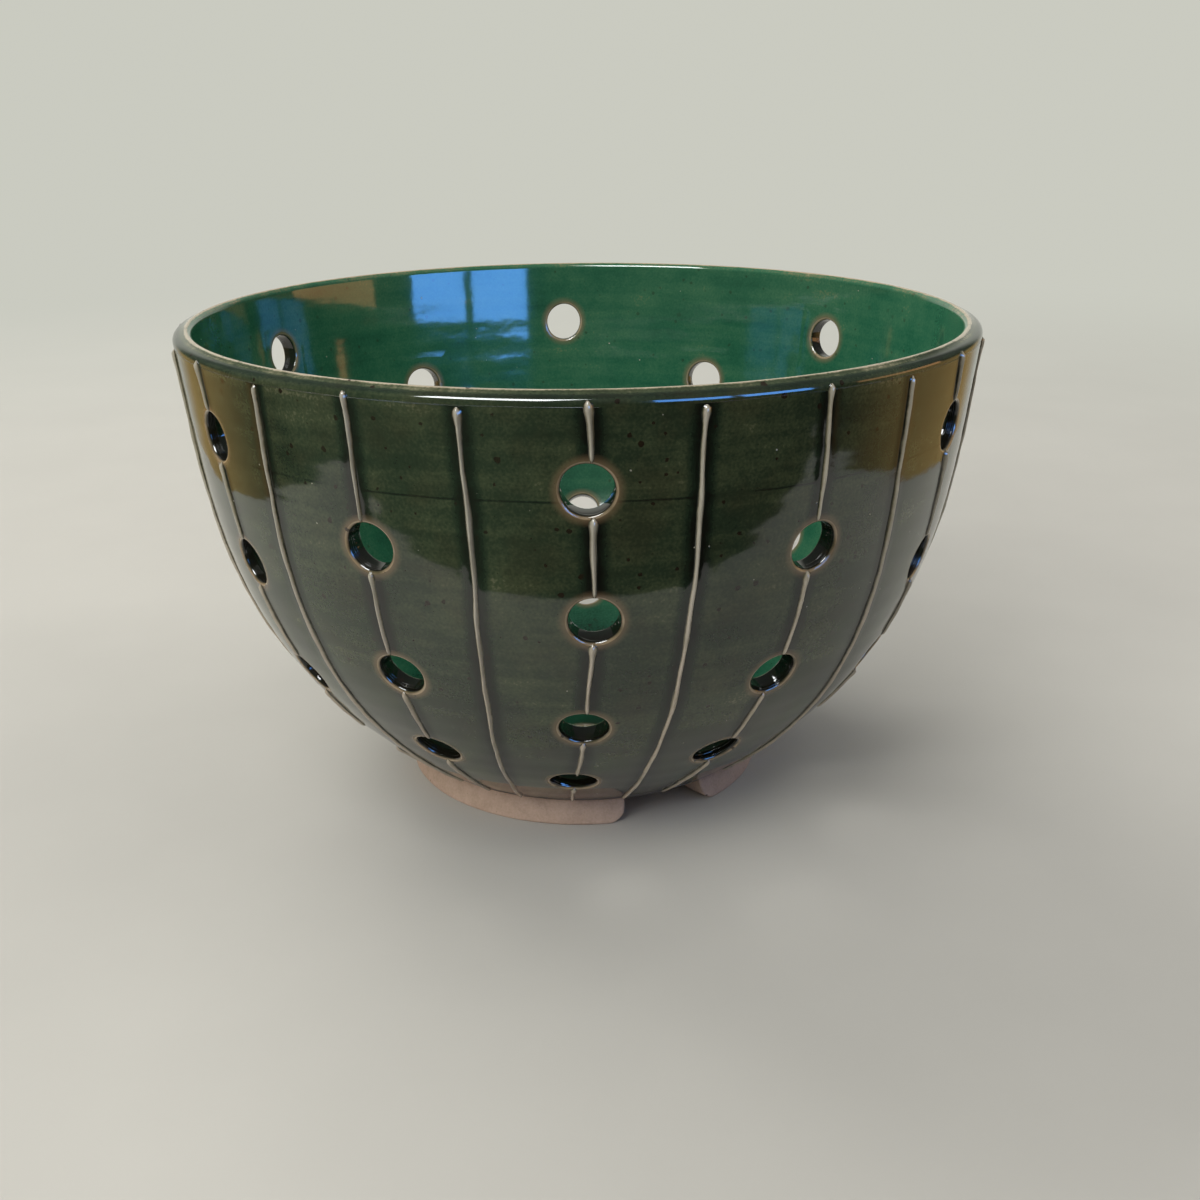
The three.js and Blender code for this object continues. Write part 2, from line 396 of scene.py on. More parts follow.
# thrown body: outside and inside grids, pierced, closed by the lip above and the floor below
body = dict(
    columns=360,
    rows=72,
    window=6.4,  # half width of the patch that is remade round each hole
    patchSteps=(0.35, 0.65, 0.85, 0.95, 1),
    edgeSteps=4,
    lipOuter=1.3,
    lipInner=0.7,
    bevelSunk=0.15,
    bevelPlace=0.6,  # where the bevel is hollow, from the shoulder to the crest
    lipTrims=(1.1, 0.5, 0.5, 0.55),
    baseTrim=0.8,
    baseTurn=0.9,  # share of the trim that is rounded
    baseFlat=2,  # ring of the underside next to the rounded edge
    coveSteps=8,
    floorRings=((0.5, 40), (1.4, 32), (2.6, 24)),  # extra points round a floor hole: distance and number
)
columnAngles = np.arange(body["columns"]) * 2 * math.pi / body["columns"]


def lathe(skin, path, **facts):
    grid = turned(path[:, :1], path[:, 1:], columnAngles[None])
    spread = {name: np.broadcast_to(np.reshape(value, (-1, 1)), grid.shape[:2]) for name, value in facts.items()}
    return skin.add(grid, **spread)


def lipPath():
    crest = np.array([wall["rimRadius"] - wall["lipInset"], wall["height"]])
    bevel = crest - shoulder
    inward = np.array([-bevel[1], bevel[0]]) / np.linalg.norm(bevel)
    middle = shoulder + body["bevelPlace"] * bevel + body["bevelSunk"] * inward
    inner = [onCurve(outerCurve, drop) - wall["thickness"] * onCurve(outerNormal, drop)
             for drop in (0, body["lipInner"])]
    corners = [onCurve(outerCurve, body["lipOuter"]), shoulder, middle, crest, *inner]
    return rounded(corners, body["lipTrims"], body["edgeSteps"])


def edgeRow(radius, turnShare, edge):
    # one step round the rounded edge of a hole: its radius and its depth
    turn = turnShare * math.pi / 2
    return radius + edge * (1 - math.sin(turn)), edge * (1 - math.cos(turn))


def pierce(skin, place, lipStart, outerSide, innerSide):
    # one hole through the wall: each side is a grid of points, the drops of its rows and which quads it keeps
    line, middle, angle = place
    outerRows = outerSide[1]
    radius = onCurve(outerCurve, np.float64(middle))[0]
    pitch = 2 * math.pi / body["columns"]
    halfColumns = math.ceil(body["window"] / (radius * pitch))
    firstColumn = math.floor(angle / pitch) - halfColumns
    columns = np.arange(firstColumn, firstColumn + 2 * halfColumns + 2)
    halfRows = math.ceil(body["window"] / (outerRows[1] - outerRows[0]))

    def border(grid, drops, keep):
        firstRow = np.searchsorted(drops, middle) - 1 - halfRows
        rows = np.arange(firstRow, firstRow + 2 * halfRows + 2)
        keep[np.ix_(rows[:-1], columns[:-1] % body["columns"])] = False
        loop = [(rows[0], column) for column in columns[:-1]] + [(row, columns[-1]) for row in rows[:-1]]
        loop += [(rows[-1], column) for column in columns[:0:-1]] + [(row, columns[0]) for row in rows[:0:-1]]
        points = np.array([((column * pitch - angle) * radius, drops[row] - middle) for row, column in loop])
        return np.array([grid[row, column % body["columns"]] for row, column in loop]), points

    outerBorder, outerFrom = border(*outerSide)
    innerBorder, innerFrom = border(*innerSide)
    count = len(outerBorder)
    true = np.unwrap(np.arctan2(outerFrom[:, 1], outerFrom[:, 0]))
    even = true.mean() + (np.arange(count) - (count - 1) / 2) * 2 * math.pi / count
    turn = (true + even) / 2
    oval, lobed = hole["unround"]
    unround = 1 + oval * np.sin(2 * turn + line) + lobed * np.sin(3 * turn + middle)
    ring = np.stack([np.cos(turn), np.sin(turn)], 1) * unround[:, None]

    def row(flat, through, **facts):
        turns, drops = angle + flat[:, 0] / radius, middle + flat[:, 1]
        front, back = outside(turns, drops), inside(turns, drops)
        if through < 0.5:
            lineTurn, lineSpan = lineTurnAt(turns, drops)
            facts.update(lineTurn=lineTurn, lineSpan=lineSpan)
        facts.setdefault("holeGap", np.hypot(flat[:, 0], flat[:, 1]) - hole["radius"])
        return skin.add(front + through * (back - front), inner=through, lipGap=lipStart + drops, **facts)

    depth = float(np.interp(middle, outerDrop, outerDepth))
    stack = [outerBorder]
    outerRing = ring * (hole["radius"] + hole["outerRound"])
    innerRing = ring * (hole["radius"] + hole["innerRound"])
    stack += [row(outerFrom + share * (outerRing - outerFrom), 0) for share in body["patchSteps"]]
    for step in range(1, body["edgeSteps"] + 1):
        wide, deep = edgeRow(hole["radius"], step / body["edgeSteps"], hole["outerRound"])
        stack.append(row(ring * wide, deep / depth, holeGap=-deep))
    stack.append(row(ring * hole["radius"], 0.5, holeGap=-depth / 2))
    for step in range(body["edgeSteps"], 0, -1):
        wide, deep = edgeRow(hole["radius"], step / body["edgeSteps"], hole["innerRound"])
        stack.append(row(ring * wide, 1 - deep / depth, holeGap=-deep))
    stack += [row(innerFrom + share * (innerRing - innerFrom), 1) for share in reversed(body["patchSteps"])]
    stack.append(innerBorder)
    skin.weave(np.stack(stack), around=True)


def disc(skin, rimIndex, rimPoints, height, holeRings, **facts):
    # flat floor, filled in between its rim and its holes
    flat = [Vector(point[:2]) for point in rimPoints]
    index = list(rimIndex)
    edges = [(at, (at + 1) % len(flat)) for at in range(len(flat))]
    for ringIndex, ringPoints in holeRings:
        first = len(flat)
        flat += [Vector(point[:2]) for point in ringPoints]
        index += list(ringIndex)
        edges += [(first + at, first + (at + 1) % len(ringPoints)) for at in range(len(ringPoints))]
    extra = []
    edge = hole["radius"] + hole["innerRound"]
    for x, y in floorMiddles():
        for grow, number in body["floorRings"]:
            wide = edge + grow
            turns = np.arange(number) * 2 * math.pi / number
            extra += [(x + wide * math.cos(turn), y + wide * math.sin(turn)) for turn in turns]
    points = np.array([(x, y, height) for x, y in extra])
    distances = [np.hypot(points[:, 0] - x, points[:, 1] - y) for x, y in floorMiddles()]
    gaps = np.min(distances, 0) - hole["radius"]
    index += list(skin.add(points, holeGap=gaps, **facts))
    flat += [Vector(point) for point in extra]
    where, _, triangles, origin, _, _ = delaunay_2d_cdt(flat, edges, [], 0, 1e-6)
    for triangle in triangles:
        x, y = np.mean([where[corner] for corner in triangle], 0)
        if min(math.hypot(x - a, y - b) for a, b in floorMiddles()) > edge * 0.999:
            skin.faces.append([index[origin[corner][0]] for corner in triangle])


def floorMiddles():
    turns = np.arange(hole["floorCount"]) * 2 * math.pi / hole["floorCount"]
    ring = hole["floorRing"]
    return [(0, 0)] + [(ring * math.sin(turn), -ring * math.cos(turn)) for turn in turns]


def makeBody():
    skin = Skin(holeGap=hole["farGap"], lipGap=105, lineTurn=0.5, lineSpan=20, inner=0, bare=0)
    lip = lipPath()
    lipAlong = alongOf(lip)
    crest = int(np.argmax(lip[:, 1]))
    lipGap = abs(lipAlong - lipAlong[crest])
    outerRows = np.linspace(body["lipOuter"], wallLength - body["baseTrim"], body["rows"] + 1)
    innerRows = np.linspace(body["lipInner"], wallLength, body["rows"] + 1)
    angles, drops = np.meshgrid(columnAngles, outerRows)
    lineTurn, lineSpan = lineTurnAt(angles, drops)
    outerGrid = skin.add(outside(angles, drops), holeGap=holeGapAt(angles, drops),
                         lineTurn=lineTurn, lineSpan=lineSpan, lipGap=lipGap[0] + drops - body["lipOuter"])
    angles, drops = np.meshgrid(columnAngles, innerRows)
    innerGrid = skin.add(inside(angles, drops), holeGap=holeGapAt(angles, drops), inner=1,
                         lipGap=lipGap[-1] + drops - body["lipInner"])
    outerKeep = np.ones((body["rows"], body["columns"]), bool)
    innerKeep = outerKeep.copy()
    outerSide, innerSide = (outerGrid, outerRows, outerKeep), (innerGrid, innerRows, innerKeep)
    for place in holes:
        pierce(skin, place, lipGap[0] - body["lipOuter"], outerSide, innerSide)
    skin.weave(outerGrid, True, outerKeep)
    skin.weave(innerGrid, True, innerKeep)

    pastCrest = (np.arange(len(lip)) > crest).astype(float)
    lipGrid = lathe(skin, lip[1:-1], lipGap=lipGap[1:-1], inner=pastCrest[1:-1])
    skin.weave(np.concatenate([outerGrid[:1], lipGrid, innerGrid[:1]]), True)

    # base edge, then the flat underside
    flat = base - np.array([body["baseFlat"], 0])
    trim = body["baseTrim"] * body["baseTurn"]
    corner = rounded([onCurve(outerCurve, outerRows[-1]), base, flat], [trim], body["edgeSteps"])[1:]
    baseGrid = lathe(skin, corner, bare=np.linspace(0.2, 1, len(corner)))
    skin.weave(np.concatenate([outerGrid[-1:], baseGrid]), True)

    # cove, then the flat inside floor
    start = inside(np.zeros(1), innerRows[-1:])[0]
    along = alongOf(coveCurve[:-1])
    begin = np.interp(-start[1], coveCurve[::-1, 0], np.concatenate([along, [along[-1] + 1]])[::-1])
    cove = resample(coveCurve[:-1], np.linspace(begin, along[-1], body["coveSteps"] + 1)[1:])
    coveGap = np.maximum(cove[:, 0] - hole["floorRing"] - hole["radius"], 0)
    coveGrid = lathe(skin, cove, inner=1.0, holeGap=coveGap)
    skin.weave(np.concatenate([innerGrid[-1:], coveGrid]), True)

    # drain holes through the floor
    turns = np.arange(hole["floorPoints"]) * 2 * math.pi / hole["floorPoints"]
    upper, lower = [], []
    for x, y in floorMiddles():
        rows = []
        for step in range(body["edgeSteps"] + 1):
            wide, deep = edgeRow(hole["radius"], step / body["edgeSteps"], hole["innerRound"])
            rows.append((wide, floorHeight - deep, -deep, 0))
        rows.append((hole["radius"], (floorHeight + wall["baseHeight"]) / 2, -2, 0.3))
        for step in range(body["edgeSteps"], -1, -1):
            wide, deep = edgeRow(hole["radius"], step / body["edgeSteps"], hole["innerRound"])
            rows.append((wide, wall["baseHeight"] + deep, -deep, 1))
        stack = []
        for wide, height, gap, bare in rows:
            points = np.stack([x + wide * np.cos(turns), y + wide * np.sin(turns), height + 0 * turns], 1)
            stack.append((skin.add(points, inner=1, holeGap=gap or wide - hole["radius"], bare=bare), points))
        skin.weave(np.stack([index for index, points in stack]), True)
        upper.append(stack[0])
        lower.append(stack[-1])
    coveRim = turned(cove[-1:, 0], cove[-1:, 1], columnAngles)
    baseRim = turned(corner[-1:, 0], corner[-1:, 1], columnAngles)
    disc(skin, coveGrid[-1], coveRim, floorHeight, upper, inner=1)
    disc(skin, baseGrid[-1], baseRim, wall["baseHeight"], lower, bare=1)
    return skin.make("glazed_body")


def seamTurns(mesh):
    # the line count goes on past the last line in the faces where it would jump back to none
    corners = np.empty(len(mesh.loops), int)
    mesh.loops.foreach_get("vertex_index", corners)
    turn = np.empty(len(mesh.vertices), np.float32)
    mesh.attributes["lineTurn"].data.foreach_get("value", turn)
    starts = np.empty(len(mesh.polygons), int)
    mesh.polygons.foreach_get("loop_start", starts)
    turn = turn[corners]
    high = np.repeat(np.maximum.reduceat(turn, starts), np.diff(np.append(starts, len(turn))))
    turn = np.where(high - turn > lineCount / 2, turn + lineCount, turn)
    mesh.attributes.remove(mesh.attributes["lineTurn"])
    mesh.attributes.new("lineTurn", "FLOAT", "CORNER").data.foreach_set("value", turn.astype(np.float32))


bowlBody = makeBody()
seamTurns(bowlBody.data)
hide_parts("thrown_body")
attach(bowlBody, "root")
bodyTriangles = sum(len(face.vertices) - 2 for face in bowlBody.data.polygons)
print("body:", len(bowlBody.data.vertices), "points,", bodyTriangles, "triangles")


def slipRows(line, start, end):
    # drops of the rows of one stretch, with its half width and height at each
    count = max(8, round((end - start) / slip["step"]))
    share = np.linspace(0, 1, count + 1)
    drops = start + (end - start) * share
    fromTop, fromEnd = drops - start, end - drops
    blob = np.exp(-((fromTop - slip["blobDrop"]) / slip["blobSize"]) ** 2)
    taper = np.clip(fromEnd / min(slip["taper"], (end - start) / 2), 0, 1)
    uneven = 1 + 0.09 * np.sin(drops / 3.1 + 1.7 * line) + 0.05 * np.sin(drops / 1.3 + line)
    half = slip["width"] / 2 * uneven * (0.8 + 0.2 * taper + 0.5 * blob)
    high = slip["height"] * uneven * (0.7 + 0.15 * taper + 0.15 * blob)
    inward = np.clip(np.minimum(fromTop / slip["capTop"], fromEnd / slip["capEnd"]), 0, 1)
    cap = np.sqrt(np.clip(1 - (1 - inward) ** 2, slip["capFloor"], 1))
    return drops, half * (0.35 + 0.65 * cap), np.minimum(high, slip["height"]) * cap


def makeSlip(line):
    skin = Skin(crest=0)
    across = np.linspace(-1, 1, slip["columns"] + 1)
    bulge = (0.5 + 0.5 * np.cos(math.pi * across)) ** 0.8
    for start, end in stretchesOf(line):
        drops, half, high = slipRows(line, start, end)
        radius = onCurve(outerCurve, drops)[:, 0]
        aside = waver(line, drops)[:, None] + slip["spread"] * half[:, None] * across
        angles = lineAngle(line, drops)[:, None] + aside / radius[:, None]
        levels = np.broadcast_to(drops[:, None], angles.shape)
        ground = outside(angles, levels)
        out = outsideNormals(angles, levels)
        top = ground + out * (high[:, None] * bulge - slip["seat"])[..., None]
        under = ground[:, [-2, 1]] - out[:, [-2, 1]] * slip["root"]
        crest = bulge * (0.6 + 0.4 * high[:, None] / slip["height"])
        index = np.concatenate([skin.add(top, crest=crest), skin.add(under)], 1)
        skin.weave(index, True)
        skin.faces += [index[0].tolist(), index[-1].tolist()]
    label = "slip_line_%02d" % (line + 1)
    piece = skin.make(label + "_trail")
    stretches = [label + "_stretch_%d" % (place + 1) for place in range(len(holePlaces(line)))]
    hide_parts(*(stretches or [label]))
    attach(piece, "root")
    return piece


slipLines = [makeSlip(line) for line in range(lineCount)]
print("slip lines:", sum(len(piece.data.polygons) for piece in slipLines), "faces")


# three feet, cut from a ring of bare clay
foot = dict(
    count=3,
    topRadius=37.1,
    flare=1.4,
    width=6.5,
    gap=18.4,
    corner=3.6,
    firstGap=26.3,
    edge=0.7,
    endEdge=0.6,
    sink=0.3,  # how far the top goes into the body
    uneven=0.07,
    leastHeight=1.6,  # of a foot at its ends
    edgeSteps=5,
    endRows=6,
    cornerRows=9,
    middleRows=60,
)


def footSection(rise, inset):
    # outline across a foot from the outer top corner, round the bottom, to the inner top corner
    top = wall["baseHeight"] + foot["sink"]
    low = rise + inset
    lean = foot["flare"] * (1 - low / wall["baseHeight"])
    out, back = foot["topRadius"] - inset, foot["topRadius"] - foot["width"] + inset
    corners = [np.array(point) for point in ((out, top), (out + lean, low), (back + lean, low), (back, top))]
    return rounded(corners, [min(foot["edge"], (top - low) / 3)] * 2, foot["edgeSteps"])


def makeFoot(number):
    radius = foot["topRadius"] + foot["flare"]
    pitch = 360 / foot["count"]
    halfGap = math.degrees(foot["gap"] / radius) / 2
    first = foot["firstGap"] + number * pitch + halfGap
    length = math.radians(pitch - 2 * halfGap) * radius
    endEdge, corner = foot["endEdge"], foot["corner"]
    blunted = endEdge * (1 - np.cos(np.linspace(0, math.pi / 2, foot["endRows"])))
    near = np.concatenate([blunted, np.linspace(endEdge, corner, foot["cornerRows"])[1:]])
    between = np.linspace(corner, length - corner, foot["middleRows"])[1:-1]
    along = np.concatenate([near, between, length - near[::-1]])
    skin = Skin()
    rows = []
    for place in along:
        fromEnd = min(place, length - place)
        turn = max(corner - fromEnd, 0)
        rise = corner - math.sqrt(corner ** 2 - turn ** 2)
        blunt = max(endEdge - fromEnd, 0)
        inset = endEdge - math.sqrt(endEdge ** 2 - blunt ** 2)
        section = footSection(min(rise, wall["baseHeight"] - foot["leastHeight"]), inset)
        angle = math.radians(first) + place / radius
        lump = foot["uneven"] * np.sin(place / 2.7 + 2 * number + section[:, 1] / 1.3) * (section[:, 1] > 0.2)
        rows.append(skin.add(turned(section[:, 0] - abs(lump), section[:, 1], np.full(len(section), angle))))
    skin.weave(np.stack(rows), True)
    skin.faces += [rows[0].tolist(), rows[-1].tolist()]
    piece = skin.make("foot_%d_clay" % (number + 1))
    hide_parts("foot_%d" % (number + 1))
    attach(piece, "root")
    return piece


feet = [makeFoot(number) for number in range(foot["count"])]
print("feet:", len(feet))


class Wire:
    # a shader socket that can be used in arithmetic
    def __init__(self, tree, socket=None):
        self.tree, self.socket = tree, socket

    def node(self, kind, settings, inputs, output=0):
        new = self.tree.nodes.new(kind)
        for name, value in settings.items():
            if name == "stops":
                ramp = new.color_ramp
                while len(ramp.elements) < len(value):
                    ramp.elements.new(1)
                for element, (place, colour) in zip(ramp.elements, value):
                    element.position, element.color = place, (*colour, 1)
            else:
                setattr(new, name, value)
        for name, value in inputs.items():
            if isinstance(value, Wire):
                self.tree.links.new(value.socket, new.inputs[name])
            else:
                new.inputs[name].default_value = value
        return Wire(self.tree, new.outputs[output])

    def math(self, operation, *values):
        return self.node("ShaderNodeMath", {"operation": operation}, dict(enumerate(values)))

    def __add__(self, other):
        return self.math("ADD", self, other)

    def __radd__(self, other):
        return self.math("ADD", other, self)

    def __sub__(self, other):
        return self.math("SUBTRACT", self, other)

    def __rsub__(self, other):
        return self.math("SUBTRACT", other, self)

    def __mul__(self, other):
        return self.math("MULTIPLY", self, other)

    def __rmul__(self, other):
        return self.math("MULTIPLY", other, self)

    def __truediv__(self, other):
        return self.math("DIVIDE", self, other)

    def __rtruediv__(self, other):
        return self.math("DIVIDE", other, self)

    def __abs__(self):
        return self.math("ABSOLUTE", self)

    def ramp(self, start, end):
        # 0 at start, 1 at end, smooth between
        return self.node("ShaderNodeMapRange", {"interpolation_type": "SMOOTHSTEP"},
                         {"Value": self, "From Min": start, "From Max": end})

    def hump(self, middle, half):
        # 1 at middle, falling to 0 at half on either side
        return abs(self - middle).ramp(half, 0)

    def colours(self, stops):
        return self.node("ShaderNodeValToRGB", {"stops": stops}, {"Fac": self})

    def mix(self, first, second):
        # self picks from one colour to the other
        return self.node("ShaderNodeMix", {"data_type": "RGBA"}, {0: self, 6: first, 7: second}, 2)

    def ray(self, kind):
        return self.node("ShaderNodeLightPath", {}, {}, kind)

    def attribute(self, name):
        return self.node("ShaderNodeAttribute", {"attribute_name": name}, {}, 2)

    def place(self, stretch=(1, 1, 1)):
        # place on the object in millimetres, squeezed along each axis
        point = self.node("ShaderNodeTexCoord", {}, {}, 3)
        scale = tuple(axis / mm for axis in stretch)
        return self.node("ShaderNodeVectorMath", {"operation": "MULTIPLY"}, {0: point, 1: scale})

    def noise(self, size, detail=2, stretch=(1, 1, 1), rough=0.5):
        inputs = {"Vector": self.place(stretch), "Scale": 1 / size, "Detail": detail, "Roughness": rough}
        return self.node("ShaderNodeTexNoise", {}, inputs)

    def bump(self, strength, distance, height, **others):
        inputs = {"Strength": strength, "Distance": distance * mm, "Height": height, **others}
        return self.node("ShaderNodeBump", {}, inputs)

    def specks(self, pitch, radius, share):
        # ragged specks, one in some of the cells, each of its own size
        settings = {"feature": "F1"}
        inputs = {"Vector": self.place(), "Scale": 1 / pitch}
        distance = self.node("ShaderNodeTexVoronoi", settings, inputs, 0) * pitch
        cell = self.node("ShaderNodeTexVoronoi", settings, inputs, 1)
        chance = self.node("ShaderNodeSeparateColor", {}, {0: cell}, 0)
        size = (chance - (1 - share)) / share * radius
        ragged = (self.noise(radius * 0.8, 2) - 0.5) * radius * 0.9
        return (size - distance + ragged).ramp(0, radius * 0.25) * chance.ramp(1 - share, 1.05 - share)


def newMaterial(name):
    material = bpy.data.materials.new(name)
    material.use_nodes = True
    shader = material.node_tree.nodes["Principled BSDF"]
    return material, shader, Wire(material.node_tree)


def plug(shader, name, wire):
    wire.tree.links.new(wire.socket, shader.inputs[name])


def dress(pieces, material):
    for piece in pieces:
        piece.data.materials.clear()
        piece.data.materials.append(material)


# green glaze: thin and buff over edges, deep where it pools, with painted shade beside the slip lines, in the
# hole bores, low inside and at the base edge, and painted light on the lip's bevel
glaze = dict(
    outside=((0, (0.56, 0.49, 0.36)), (0.14, (0.21, 0.21, 0.125)), (0.30, (0.068, 0.090, 0.046)),
             (0.50, (0.029, 0.048, 0.026)), (0.74, (0.012, 0.025, 0.014)), (1, (0.006, 0.007, 0.005))),
    inside=((0, (0.50, 0.41, 0.28)), (0.14, (0.18, 0.22, 0.11)), (0.30, (0.055, 0.18, 0.095)),
            (0.52, (0.025, 0.136, 0.072)), (0.76, (0.011, 0.082, 0.044)), (1, (0.006, 0.018, 0.010))),
    clay=((0, (0.36, 0.25, 0.18)), (1, (0.50, 0.38, 0.29))),
    rust=(0.066, 0.048, 0.022, 1),
    ash=(0.050, 0.047, 0.041, 1),
    halo=(0.29, 0.20, 0.115, 1),
    edge=(0.44, 0.34, 0.22, 1),
    # nearly black for the hole bores: thick glaze and painted shade
    boreGlazeAndShade=(0.005, 0.0035, 0.002, 1),
    speck=(0.018, 0.008, 0.004, 1),
    freckle=(0.008, 0.006, 0.004, 1),
    pinhole=(0.55, 0.52, 0.42, 1),
    roughness=0.07,
    clayRoughness=0.8,
    ior=1.66,
    specks=(1.9, 0.52, 0.35),  # pitch, largest radius, share of the cells that have one
    blots=(3.2, 0.7, 0.5),
    freckles=(0.8, 0.12, 0.3),
    pinholes=(2.6, 0.2, 0.4),
    bumpStrength=0.5,
    bumpDepth=0.12,
    swell=0.65,  # how much the inside seems to thicken below the lip, in millimetres
    swellReach=(2, 40),
    ringDrop=19.3,  # thin dark line round the outside
    ashReach=(50, 85),
    # where the inside darkens towards the floor: pooled glaze and painted shade
    floorReach=(92, 104),
)


def makeGlaze():
    material, shader, start = newMaterial("green_glaze_over_clay")
    holeGap, lipGap, inner, bare = (start.attribute(name) for name in ("holeGap", "lipGap", "inner", "bare"))
    lineTurn = start.attribute("lineTurn")
    lineGap = abs(lineTurn - start.math("ROUND", lineTurn)) * start.attribute("lineSpan")
    cloud = start.noise(14, 3)
    patch = start.noise(4, 3)
    streak = start.noise(2.2, 3, (0.06, 0.06, 1))
    grain = start.noise(0.5, 3)

    edgeNoise = (patch - 0.5) * 0.9
    outer = 1 - inner
    # painted shade: beside each slip line the glaze is darkened, partly glaze pooled against the line and partly
    # painted shade in the crease beside it
    nearLine = (lineGap + edgeNoise * 0.4).ramp(3.1, 0.7) * outer
    poolAndShade = nearLine * (holeGap + edgeNoise).ramp(0.1, 1.0)
    thinEdge = (holeGap + edgeNoise * 0.25).hump(0.1, 0.5)
    halo = (holeGap + edgeNoise * 0.8).ramp(2.1, 0.1) * holeGap.ramp(-0.6, 0)
    # painted shade: the hole bores turn nearly black, partly thick glaze in them and partly painted shade deep
    # in the holes
    boreGlazeAndShade = (holeGap + edgeNoise * 0.3).ramp(-0.1, -0.5)
    groove = (lipGap + edgeNoise * 0.2).hump(2.0, 0.9) * outer
    underLip = (lipGap + edgeNoise * 0.5).hump(4.3, 1.2) * outer
    crestThin = (lipGap + edgeNoise * 0.25).ramp(0.75, 0.15)
    # lighter band on the bevel below the crest: thinner glaze there, and painted light on this upward face
    thinAndLitBand = (lipGap + edgeNoise * 0.2).hump(1.0, 0.8)
    ring = (lipGap + (cloud - 0.5) * 0.9).hump(glaze["ringDrop"], 0.32) * outer * cloud.ramp(0.58, 0.45)
    # darker towards the bottom of the inside: partly glaze pooled there, partly painted shade deep in the bowl
    floorPoolAndShade = inner * lipGap.ramp(*glaze["floorReach"])
    # painted shade: the glaze is darkened towards the base edge, under the overhang; it is also made rougher
    # there
    baseShadeAndMatte = outer * (lipGap + edgeNoise).ramp(wallLength - 2.5, wallLength + 1)
    depth = 0.46 + (cloud - 0.5) * 0.55 + (streak - 0.5) * 0.42 + (patch - 0.5) * 0.24 + (grain - 0.5) * 0.45
    depth = depth + poolAndShade * 0.54 + groove * 0.22 + ring * 0.4 + floorPoolAndShade * 0.46 + baseShadeAndMatte * 0.3
    depth = depth - underLip * 0.1 - thinAndLitBand * 0.2 - crestThin * 0.6
    outsideColour = depth.colours(glaze["outside"])
    insideColour = depth.colours(glaze["inside"])
    colour = inner.ramp(0.35, 0.65).mix(outsideColour, insideColour)
    colour = (start.noise(9, 3).ramp(0.42, 0.7) * outer * (1 - poolAndShade) * 0.2).mix(colour, glaze["rust"])
    ash = lipGap.ramp(*glaze["ashReach"]) * outer * (1 - poolAndShade) * cloud.ramp(0.35, 0.6) * 0.6
    colour = ash.mix(colour, glaze["ash"])
    colour = (halo * (0.2 + patch * 0.9)).mix(colour, glaze["halo"])
    colour = (thinEdge * patch.ramp(0.2, 0.6)).mix(colour, glaze["edge"])
    colour = (boreGlazeAndShade * 0.96).mix(colour, glaze["boreGlazeAndShade"])
    specks = start.specks(*glaze["specks"]) * (1 - inner * 0.5)
    blots = start.specks(*glaze["blots"]) * (1 - inner * 0.7)
    freckles = start.specks(*glaze["freckles"])
    colour = (specks * 0.85).mix(colour, glaze["speck"])
    colour = (blots * 0.9).mix(colour, glaze["speck"])
    colour = (freckles * 0.7).mix(colour, glaze["freckle"])
    pinholes = start.specks(*glaze["pinholes"])
    colour = (pinholes * 0.8).mix(colour, glaze["pinhole"])
    clay = (0.6 * start.noise(1.1, 4) + 0.4 * cloud).colours(glaze["clay"])
    clay = ((specks + blots) * 0.75).mix(clay, glaze["speck"])
    glazeEnd = (bare + (patch - 0.5) * 0.5).ramp(0.42, 0.58)
    plug(shader, "Base Color", glazeEnd.mix(colour, clay))
    wear = glaze["roughness"] + (cloud - 0.4) * 0.05 + halo * 0.04 + pinholes * 0.25 + baseShadeAndMatte * 0.3
    plug(shader, "Roughness", wear + glazeEnd * (glaze["clayRoughness"] - wear))
    ripple = start.noise(4.5, 2, (0.6, 0.6, 1)) * 0.5 + start.noise(1.1, 2) * 0.06 - pinholes * 0.3
    ripple = ripple + nearLine * nearLine * 1.2 + glazeEnd * start.noise(0.35, 3)
    bump = start.bump(glaze["bumpStrength"], glaze["bumpDepth"], ripple)
    swell = lipGap.ramp(*glaze["swellReach"]) * glaze["swell"]
    tipped = start.bump(1, 1, swell, Normal=bump)
    plug(shader, "Normal", inner.ramp(0.9, 1).mix(bump, tipped))
    shader.inputs["IOR"].default_value = glaze["ior"]
    return material


# slip: raised lines that break to buff on the crest
slipFinish = dict(
    # near black where a line meets the wall: glaze pooled at its foot and painted shade, as beside the lines
    stops=((0, (0.006, 0.010, 0.006)), (0.18, (0.03, 0.032, 0.018)), (0.34, (0.24, 0.21, 0.14)),
           (0.52, (0.47, 0.43, 0.34)), (1, (0.62, 0.60, 0.51))),
    stain=(0.30, 0.27, 0.18, 1),
    low=(0.50, 0.39, 0.30, 1),
    lowReach=(75, 35),  # heights between which a line turns redder
    roughness=0.12,
    bumpStrength=0.3,
    bumpDepth=0.1,
)


